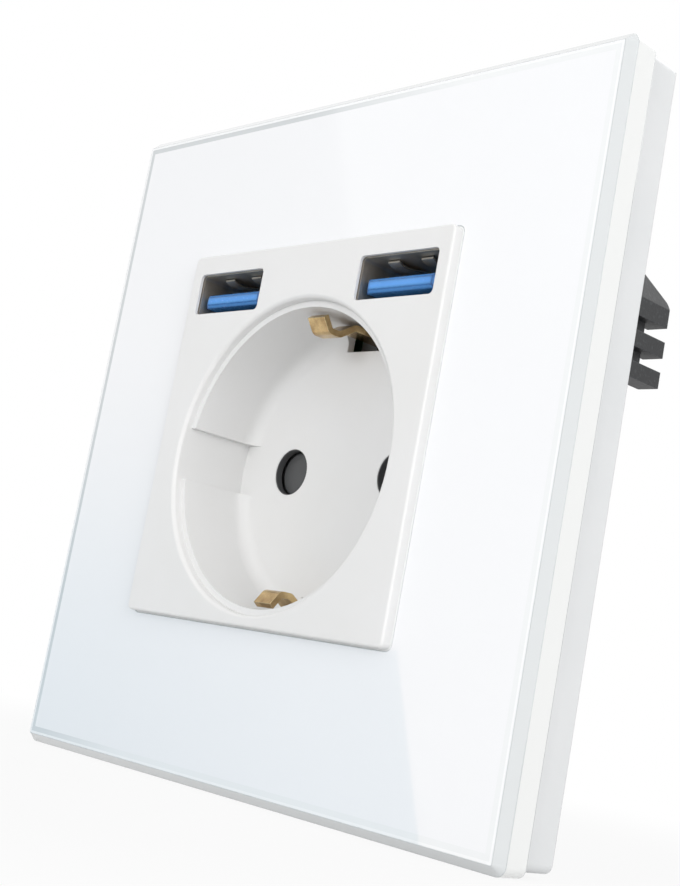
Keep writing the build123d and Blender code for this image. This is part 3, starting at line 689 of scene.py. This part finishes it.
@dataclass
class PlugInsert(SubAssembly):
    """The white insert with its shutter, contacts, earth strip and pin bushes, in millimetres."""

    name: str = "plug insert"
    pin_spacing: float = 19.0
    hole_radius: float = 3.0
    bush_wall: float = 0.1
    bush_sink: float = 0.02
    floor: float = 1.0
    floor_step: float = 0.08
    shutter_clearance: float = 0.3

    def finishes(self) -> dict[str, Finish]:
        """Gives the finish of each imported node."""
        return {
            "socket_cover": COVER_ABS,
            "shutter": SHUTTER_POLYAMIDE,
            "shutter_spring": SPRING_WIRE,
            "contact_carrier": CARRIER_POLYAMIDE,
            "earth_strip": STRIP_BRASS,
            "live_contact": STRIP_BRASS,
            "neutral_contact": STRIP_BRASS,
        }

    def build(self) -> None:
        """Lines the pin holes with the thin grey bushes that stand in front of the shutter."""
        low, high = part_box("shutter")
        back = low.y - self.shutter_clearance * MM
        level = (low.z + high.z) / 2
        centres = [Vector((sign * self.pin_spacing / 2 * MM, back, level)) for sign in (-1, 1)]
        outer, front = self.hole_radius + self.bush_sink, self.floor_step - self.floor
        inner = self.hole_radius - self.bush_wall
        section = ((outer, front), (inner, front), (inner, 0.0), (outer, 0.0))
        self.rings("pin_bushes", centres, section, SHUTTER_POLYAMIDE, Slot.SHUTTER)


@dataclass
class ChargingPorts(SubAssembly):
    """The two ports, the charger behind them and the shells' spring fingers, in millimetres.

    The crest is the share of a finger's length at which it hangs lowest, and the lift is the share
    of its drop that it rises again towards its tip.
    """

    name: str = "charging ports"
    wall: float = 0.3
    finger_length: float = 5.2
    finger_width: float = 1.9
    finger_spacing: float = 5.4
    finger_sheet: float = 0.25
    finger_drop: float = 0.55
    finger_root: float = 6.6
    finger_crest: float = 0.74
    finger_lift: float = 0.7
    finger_sink: float = 0.05
    finger_steps: int = 16

    def finishes(self) -> dict[str, Finish]:
        """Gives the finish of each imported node."""
        return {
            "usb_shell_left": SHELL_STEEL,
            "usb_shell_right": SHELL_STEEL,
            "usb_tongue_left": TONGUE_PBT,
            "usb_tongue_right": TONGUE_PBT,
            "usb_blades_left": BLADE_BRONZE,
            "usb_blades_right": BLADE_BRONZE,
            "usb_board": BOARD_RESIST,
            "transformer": CORE_FERRITE,
            "capacitor": SLEEVE_PVC,
            "supply_pins": BAR_BRASS,
        }

    def drop(self, share: float) -> float:
        """Gives how far a finger hangs below the shell's ceiling.

        Args:
            share: How far along the finger, from its root at 0 to its tip at 1.

        Returns:
            The drop in millimetres.
        """
        if share < self.finger_crest:
            return self.finger_drop * math.sin(math.pi / 2 * share / self.finger_crest) ** 2
        past = (share - self.finger_crest) / (1 - self.finger_crest)
        return self.finger_drop * (1 - self.finger_lift * past ** 2)

    def fingers(self, port: Port) -> None:
        """Bends the two spring fingers out of a shell's ceiling.

        Args:
            port: The port that gets them.
        """
        low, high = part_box("usb_shell_" + port.value)
        ceiling = high.z - (self.wall - self.finger_sink) * MM
        points: list[Vector] = []
        faces: list[tuple[int, ...]] = []
        for sign in (-1, 1):
            middle = (low.x + high.x) / 2 + sign * self.finger_spacing / 2 * MM
            left, right = (middle + side * self.finger_width / 2 * MM for side in (-1, 1))
            root = len(points)
            for step in range(self.finger_steps + 1):
                share = step / self.finger_steps
                depth = low.y + (self.finger_root - share * self.finger_length) * MM
                top = ceiling - self.drop(share) * MM
                under = top - self.finger_sheet * MM
                section = ((left, top), (right, top), (right, under), (left, under))
                points += [Vector((across, depth, height)) for across, height in section]
            tip = len(points) - len(section)
            faces += self.tube(root, self.finger_steps + 1, len(section), closed=False)
            faces += [(root, root + 3, root + 2, root + 1), (tip, tip + 1, tip + 2, tip + 3)]
        self.add("usb_springs_" + port.value, points, faces, SHELL_STEEL, Slot.SHELL)

    def build(self) -> None:
        """Adds the spring fingers of both ports."""
        for port in Port:
            self.fingers(port)


@dataclass
class RearWorks(SubAssembly):
    """The dark housing, its plate and terminals, and the marks on its back, in millimetres."""

    name: str = "rear works"
    wall: float = 1.6
    hole_radius: float = 1.6
    hole_pitch: float = 3.9
    hole_rise: float = 3.0
    earth_spacing: float = 4.6
    collar_radius: float = 1.9
    collar_rise: float = 0.35
    mark_radius: float = 1.7
    mark_width: float = 0.3
    mark_rise: float = 0.12
    mark_place: tuple[float, float] = (13.0, 10.0)
    well_drop: float = 2.8
    shoulder_share: float = 0.7
    sink: float = 0.05

    def finishes(self) -> dict[str, Finish]:
        """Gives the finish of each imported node."""
        return {
            "base_housing": HOUSING_POLYAMIDE,
            "support_plate": ZINC_STEEL,
            "housing_screws": ZINC_STEEL,
            "live_terminal": BAR_BRASS,
            "neutral_terminal": BAR_BRASS,
            "earth_terminal": BAR_BRASS,
            "terminal_screws": ZINC_STEEL,
        }

    def low_ring(
        self, name: str, centres: list[Vector], inner: float, outer: float, rise: float
    ) -> None:
        """Moulds low round-topped rings on the housing's back.

        Args:
            name: The piece's name.
            centres: Middle of each ring on the housing, in metres.
            inner: Inner radius in millimetres.
            outer: Outer radius in millimetres.
            rise: Height above the housing in millimetres.
        """
        shoulder = rise * self.shoulder_share
        section = (
            (inner, -self.sink),
            (inner, shoulder),
            ((inner + outer) / 2, rise),
            (outer, shoulder),
            (outer, -self.sink),
        )
        self.rings(name, centres, section, HOUSING_POLYAMIDE, Slot.HOUSING)

    def build(self) -> None:
        """Adds the collars of the wire holes and the marks that the mould's ejector pins leave."""
        wires = []
        for block in ("live_terminal", "neutral_terminal"):
            low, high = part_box(block)
            for rise in (self.hole_rise, self.hole_rise + self.hole_pitch):
                level = low.z + rise * MM
                wires.append(Vector(((low.x + high.x) / 2, high.y + self.wall * MM, level)))
        low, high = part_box("earth_terminal")
        for sign in (-1, 1):
            across = sign * self.earth_spacing / 2 * MM
            wires.append(Vector((across, high.y + self.wall * MM, (low.z + high.z) / 2)))
        self.low_ring(
            "wire_collars", wires, self.hole_radius, self.collar_radius, self.collar_rise
        )
        _, contact_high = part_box("live_contact")
        back = contact_high.y + self.wall * MM
        marks = []
        for sign_x in (-1, 1):
            for sign_z in (-1, 1):
                across, up = sign_x * self.mark_place[0], sign_z * self.mark_place[1]
                marks.append(Vector((across * MM, back, (up - self.well_drop) * MM)))
        inner = self.mark_radius - self.mark_width
        self.low_ring("ejector_marks", marks, inner, self.mark_radius, self.mark_rise)


@dataclass(frozen=True)
class SoftBox:
    """A square studio lamp that faces the object, in degrees, metres and watts."""

    name: str
    azimuth: float
    elevation: float
    distance: float
    side: float
    watts: float
    mirrored: bool = True

    def build(self, aim: Vector) -> None:
        """Hangs the lamp.

        Args:
            aim: The point that the lamp faces, in metres.
        """
        lamp = bpy.data.lights.new(self.name, "AREA")
        lamp.shape = "SQUARE"
        lamp.size = self.side
        lamp.energy = self.watts
        hung = bpy.data.objects.new(self.name, lamp)
        away = heading(self.azimuth, self.elevation)
        hung.location = aim + away * self.distance
        hung.rotation_euler = away.to_track_quat("Z", "Y").to_euler()
        hung.visible_glossy = self.mirrored
        bpy.context.scene.collection.objects.link(hung)


@dataclass
class Studio:
    """Pale floor, white surround, soft lamps, the flag and the camera, in metres and degrees.

    The floor's white is the share of its glow near the object, and the shadow's core is the share
    of its reach where that glow starts to grow. The flag fades up to a share of its head's height,
    and goes on below its foot by a share of its rise.
    """

    floor_side: float = 6.0
    floor_colour: str = "#D0D0D0"
    floor_white: float = 0.9
    shadow_reach: float = 0.16
    shadow_core: float = 1 / 3
    surround_level: float = 0.72
    lamps: tuple[SoftBox, ...] = (
        SoftBox(
            "front_lamp", azimuth=10.0, elevation=6.0, distance=1.2, side=0.6, watts=5.9,
            mirrored=False,
        ),
        SoftBox("key_lamp", azimuth=74.0, elevation=14.0, distance=1.0, side=0.6, watts=4.0),
        SoftBox("back_lamp", azimuth=190.0, elevation=40.0, distance=1.2, side=0.8, watts=3.5),
    )
    flag_foot: Vector = field(default_factory=lambda: Vector((-0.423, -0.5, -0.113)))
    flag_lean: float = -0.416
    flag_width: float = 0.9
    flag_height: float = 0.7
    flag_fade: float = 0.35
    flag_tail: float = 0.5
    flag_low: str = "#0096BC"
    flag_high: str = "#E2E3E4"
    camera_azimuth: float = 48.565
    camera_elevation: float = -8.684
    camera_roll: float = 10.488
    camera_distance: float = 172.77 * MM
    camera_lens: float = 61.369
    camera_near: float = 5 * MM
    camera_aim: Vector = field(default_factory=lambda: Vector((9.762, -8.6, -1.131)) * MM)

    def seen(self, tree: bpy.types.NodeTree) -> bpy.types.NodeSocket:
        """Adds nodes that tell the rays of the picture and of mirror images from those that light.

        Args:
            tree: The node tree of the floor or the world.

        Returns:
            An output of one where the surface is looked at, and zero where it lights.
        """
        rays = add_node(tree, "LightPath", {}).outputs
        looked = rays["Is Camera Ray"]
        for kind in ("Is Glossy Ray", "Is Transmission Ray"):
            looked = add_node(
                tree, "Math", {0: looked, 1: rays[kind]}, operation="MAXIMUM"
            ).outputs[0]
        return looked

    def surround(self) -> None:
        """Makes the world white where it is seen and a plain level where it lights."""
        world = bpy.data.worlds.new("white_surround")
        bpy.context.scene.world = world
        world.use_nodes = True
        tree = world.node_tree
        tree.nodes.clear()
        level = add_node(
            tree, "MapRange", {0: self.seen(tree), "To Min": self.surround_level, "To Max": 1.0}
        ).outputs[0]
        light = add_node(tree, "Background", {"Color": WHITE, "Strength": level})
        add_node(tree, "OutputWorld", {"Surface": light.outputs[0]})

    def sheet(self, name: str, corners: list[Vector], made: bpy.types.Material) -> bpy.types.Object:
        """Hangs or lays one flat sheet of the studio.

        Args:
            name: The sheet's name.
            corners: Its four corners, in metres.
            made: Its material.

        Returns:
            The sheet, marked as part of the stage.
        """
        mesh = bpy.data.meshes.new(name)
        mesh.from_pydata(corners, [], [(0, 1, 2, 3)])
        mesh.materials.append(made)
        laid = bpy.data.objects.new(name, mesh)
        bpy.context.scene.collection.objects.link(laid)
        laid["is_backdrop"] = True
        return laid

    def floor(self) -> None:
        """Lays a white floor under the object that keeps the object's soft shadow."""
        low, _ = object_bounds()
        # Matt paper lit from behind: white all the way out, with a faint shadow near the object.
        made, tree = node_material("floor_paper")
        place = add_node(tree, "TexCoord", {}).outputs["Object"]
        level = add_node(
            tree, "VectorMath", {0: place, 1: (1.0, 1.0, 0.0)}, operation="MULTIPLY"
        ).outputs[0]
        reach = add_node(tree, "VectorMath", {0: level}, operation="LENGTH").outputs["Value"]
        white = add_node(
            tree,
            "MapRange",
            {
                0: reach,
                "From Min": self.shadow_reach * self.shadow_core,
                "From Max": self.shadow_reach,
                "To Min": self.floor_white,
                "To Max": 1.0,
            },
            interpolation_type="SMOOTHSTEP",
        ).outputs[0]
        share = add_node(
            tree, "Math", {0: white, 1: self.seen(tree)}, operation="MULTIPLY"
        ).outputs[0]
        paper = add_node(tree, "BsdfDiffuse", {"Color": linear(self.floor_colour)}).outputs[0]
        glow = add_node(tree, "Emission", {"Color": WHITE, "Strength": 1.0}).outputs[0]
        both = add_node(tree, "MixShader", {0: share, 1: paper, 2: glow}).outputs[0]
        add_node(tree, "OutputMaterial", {"Surface": both})
        half = self.floor_side / 2
        signs = ((-1, -1), (1, -1), (1, 1), (-1, 1))
        corners = [Vector((x * half, y * half, low.z)) for x, y in signs]
        self.sheet("floor", corners, made).visible_glossy = False

    def flag(self) -> None:
        """Hangs a glowing flag that lights nothing and that only polished surfaces see, so the
        glass mirrors its straight edge as a painted reflection.
        """
        rise = Vector((self.flag_lean, 0.0, 1.0)) * self.flag_height
        head, below = self.flag_foot + rise, self.flag_foot - rise * self.flag_tail
        aside = Vector((self.flag_width, 0.0, 0.0))
        # A glowing sheet, blue at its foot and pale grey at its head, that puts a painted
        # reflection into the glass: a cool edge that fades upwards.
        made, tree = node_material("grey_flag_glow")
        place = add_node(tree, "TexCoord", {}).outputs["Object"]
        height = add_node(tree, "SeparateXYZ", {0: place}).outputs["Z"]
        share = add_node(
            tree,
            "MapRange",
            {0: height, "From Min": self.flag_foot.z, "From Max": head.z * self.flag_fade},
            interpolation_type="SMOOTHSTEP",
        ).outputs[0]
        tone = add_node(
            tree,
            "Mix",
            {0: share, MIX_FROM: linear(self.flag_low), MIX_TO: linear(self.flag_high)},
            data_type="RGBA",
        ).outputs[MIX_OUT]
        glow = add_node(tree, "Emission", {"Color": tone, "Strength": 1.0}).outputs[0]
        add_node(tree, "OutputMaterial", {"Surface": glow})
        hung = self.sheet("grey_flag", [below, head, head - aside, below - aside], made)
        hung.visible_camera = False
        hung.visible_diffuse = False
        hung.visible_shadow = False
        hung.visible_transmission = False

    def camera(self) -> None:
        """Sets up the camera: turned, raised and rolled about its aim."""
        lens = bpy.data.cameras.new("studio_camera")
        lens.lens = self.camera_lens
        lens.clip_start = self.camera_near
        stand = bpy.data.objects.new("studio_camera", lens)
        away = heading(self.camera_azimuth, self.camera_elevation)
        level = away.to_track_quat("Z", "Y").to_matrix().to_4x4()
        tilt = Matrix.Rotation(math.radians(self.camera_roll), 4, "Z")
        place = Matrix.Translation(self.camera_aim + away * self.camera_distance)
        stand.matrix_world = place @ level @ tilt
        bpy.context.scene.collection.objects.link(stand)
        bpy.context.scene.camera = stand

    def build(self) -> None:
        """Builds the whole studio."""
        self.surround()
        self.floor()
        self.flag()
        for lamp in self.lamps:
            lamp.build(self.camera_aim)
        self.camera()
        bpy.context.scene.view_settings.view_transform = "Standard"


def main() -> None:
    """Builds and dresses the sub-assemblies in order and sets up the studio."""
    logging.basicConfig(level=logging.INFO, format="%(message)s")
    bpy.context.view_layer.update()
    for assembly in (GlassFront(), PlugInsert(), ChargingPorts(), RearWorks()):
        assembly.build()
        assembly.dress()
    Studio().build()


if __name__ == "__main__":
    main()
